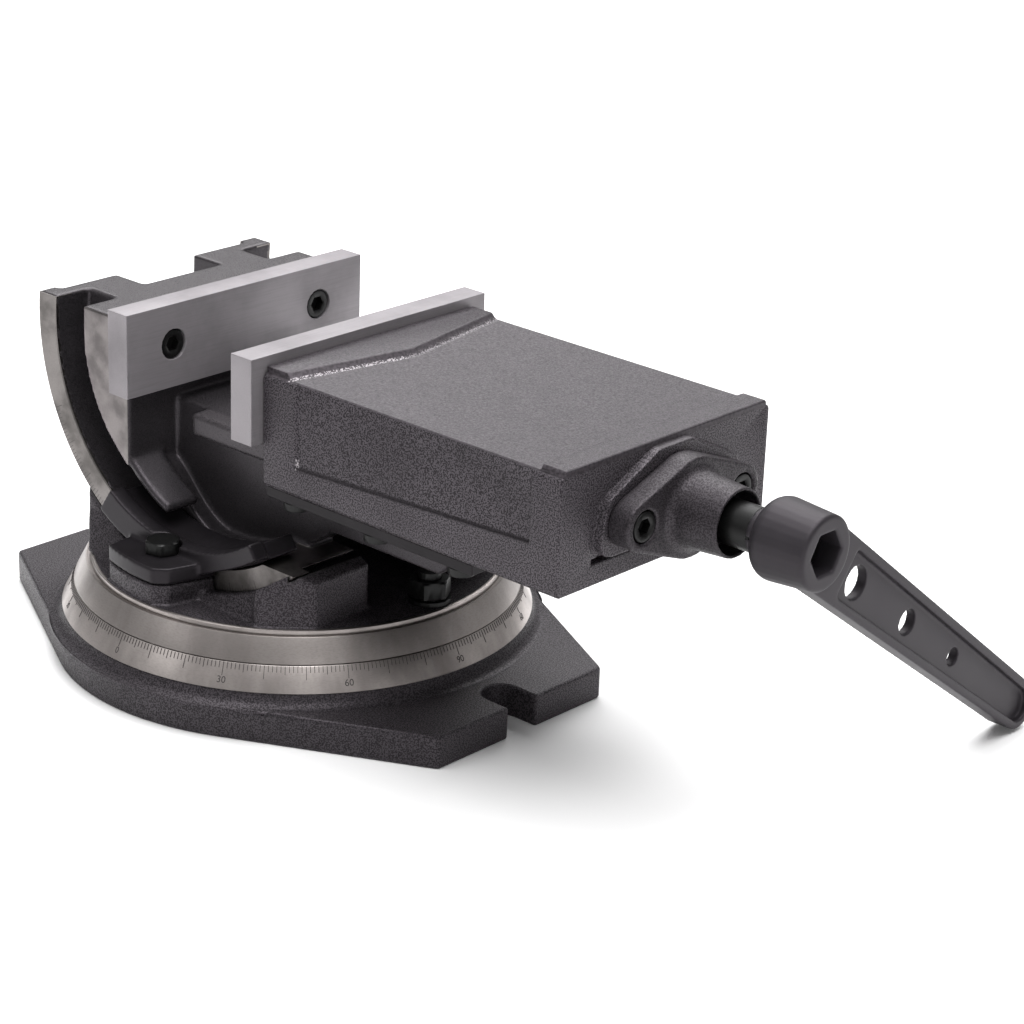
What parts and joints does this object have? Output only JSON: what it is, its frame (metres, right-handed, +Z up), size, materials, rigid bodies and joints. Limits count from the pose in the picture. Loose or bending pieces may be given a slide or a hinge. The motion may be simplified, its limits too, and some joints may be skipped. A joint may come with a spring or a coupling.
{
  "type": "tilting machine vise",
  "caption": "Machine vise on a graduated swivel base, with a tilting bed, replaceable jaw plates, and a sliding jaw driven by a lead screw with a crank handle.",
  "frame": {"origin": "middle of the base's underside, on the swivel axis", "axes": "+X along the bed from the fixed jaw to the handle, +Y along the jaws' width to the far side, +Z up"},
  "size_m": [0.3338, 0.2194, 0.125],
  "materials": {
    "painted_casting": "dark grey hammertone enamel on cast iron",
    "machined_casting": "machined cast iron",
    "ground_steel": "ground steel",
    "black_oxide": "black oxide on steel, slightly glossy",
    "smooth_paint": "smooth near-black enamel",
    "handle_paint": "smooth dark grey enamel, satin",
    "bronze": "bronze"
  },
  "bodies": {
    "base": {"base": "painted_casting"},
    "turntable": {"turntable": "painted_casting", "swivel_bolt_front": "black_oxide", "swivel_bolt_rear": "black_oxide", "swivel_nut_front": "black_oxide", "swivel_nut_rear": "black_oxide", "swivel_washer_front": "black_oxide", "swivel_washer_rear": "black_oxide", "tilt_clamp_bolt_far": "black_oxide", "tilt_clamp_bolt_near": "black_oxide", "tilt_clamp_far": "smooth_paint", "tilt_clamp_near": "smooth_paint"},
    "tilt_body": {"tilt_body": "painted_casting", "fixed_jaw_plate": "ground_steel", "fixed_jaw_screw_far": "black_oxide", "fixed_jaw_screw_near": "black_oxide", "lead_nut": "bronze", "lead_nut_screw_far": "black_oxide", "lead_nut_screw_near": "black_oxide"},
    "slide": {"slide": "painted_casting", "moving_jaw_plate": "ground_steel", "bearing_cap": "painted_casting", "cap_screw_far": "black_oxide", "cap_screw_near": "black_oxide", "keeper_far": "machined_casting", "keeper_near": "machined_casting", "keeper_screw_far_1": "black_oxide", "keeper_screw_far_2": "black_oxide", "keeper_screw_far_3": "black_oxide", "keeper_screw_near_1": "black_oxide", "keeper_screw_near_2": "black_oxide", "keeper_screw_near_3": "black_oxide", "moving_jaw_screw_far": "black_oxide", "moving_jaw_screw_near": "black_oxide"},
    "screw": {"lead_screw": "black_oxide", "handle": "handle_paint", "thrust_washer_inner": "bronze", "thrust_washer_outer": "bronze"}
  },
  "joints": [
    {"name": "swivel", "type": "hinge", "parent": "base", "child": "turntable", "pos_m": [0, 0, 0.0244], "axis": [0, 0, 1], "continuous": true},
    {"name": "tilt", "type": "hinge", "parent": "turntable", "child": "tilt_body", "pos_m": [0, 0, 0.113], "axis": [0, -1, 0], "range_deg": [0, 90]},
    {"name": "jaw_slide", "type": "slide", "parent": "tilt_body", "child": "slide", "axis": [1, 0, 0], "range_m": [-0.0513, 0.03]},
    {"name": "screw_turn", "type": "hinge", "parent": "slide", "child": "screw", "pos_m": [0.16, 0, 0.1005], "axis": [1, 0, 0], "range_deg": [-4617, 2700]}
  ],
  "couplings": [
    {"joint": "jaw_slide", "follows": "screw_turn", "m_per_rad": 0.00063662}
  ]
}
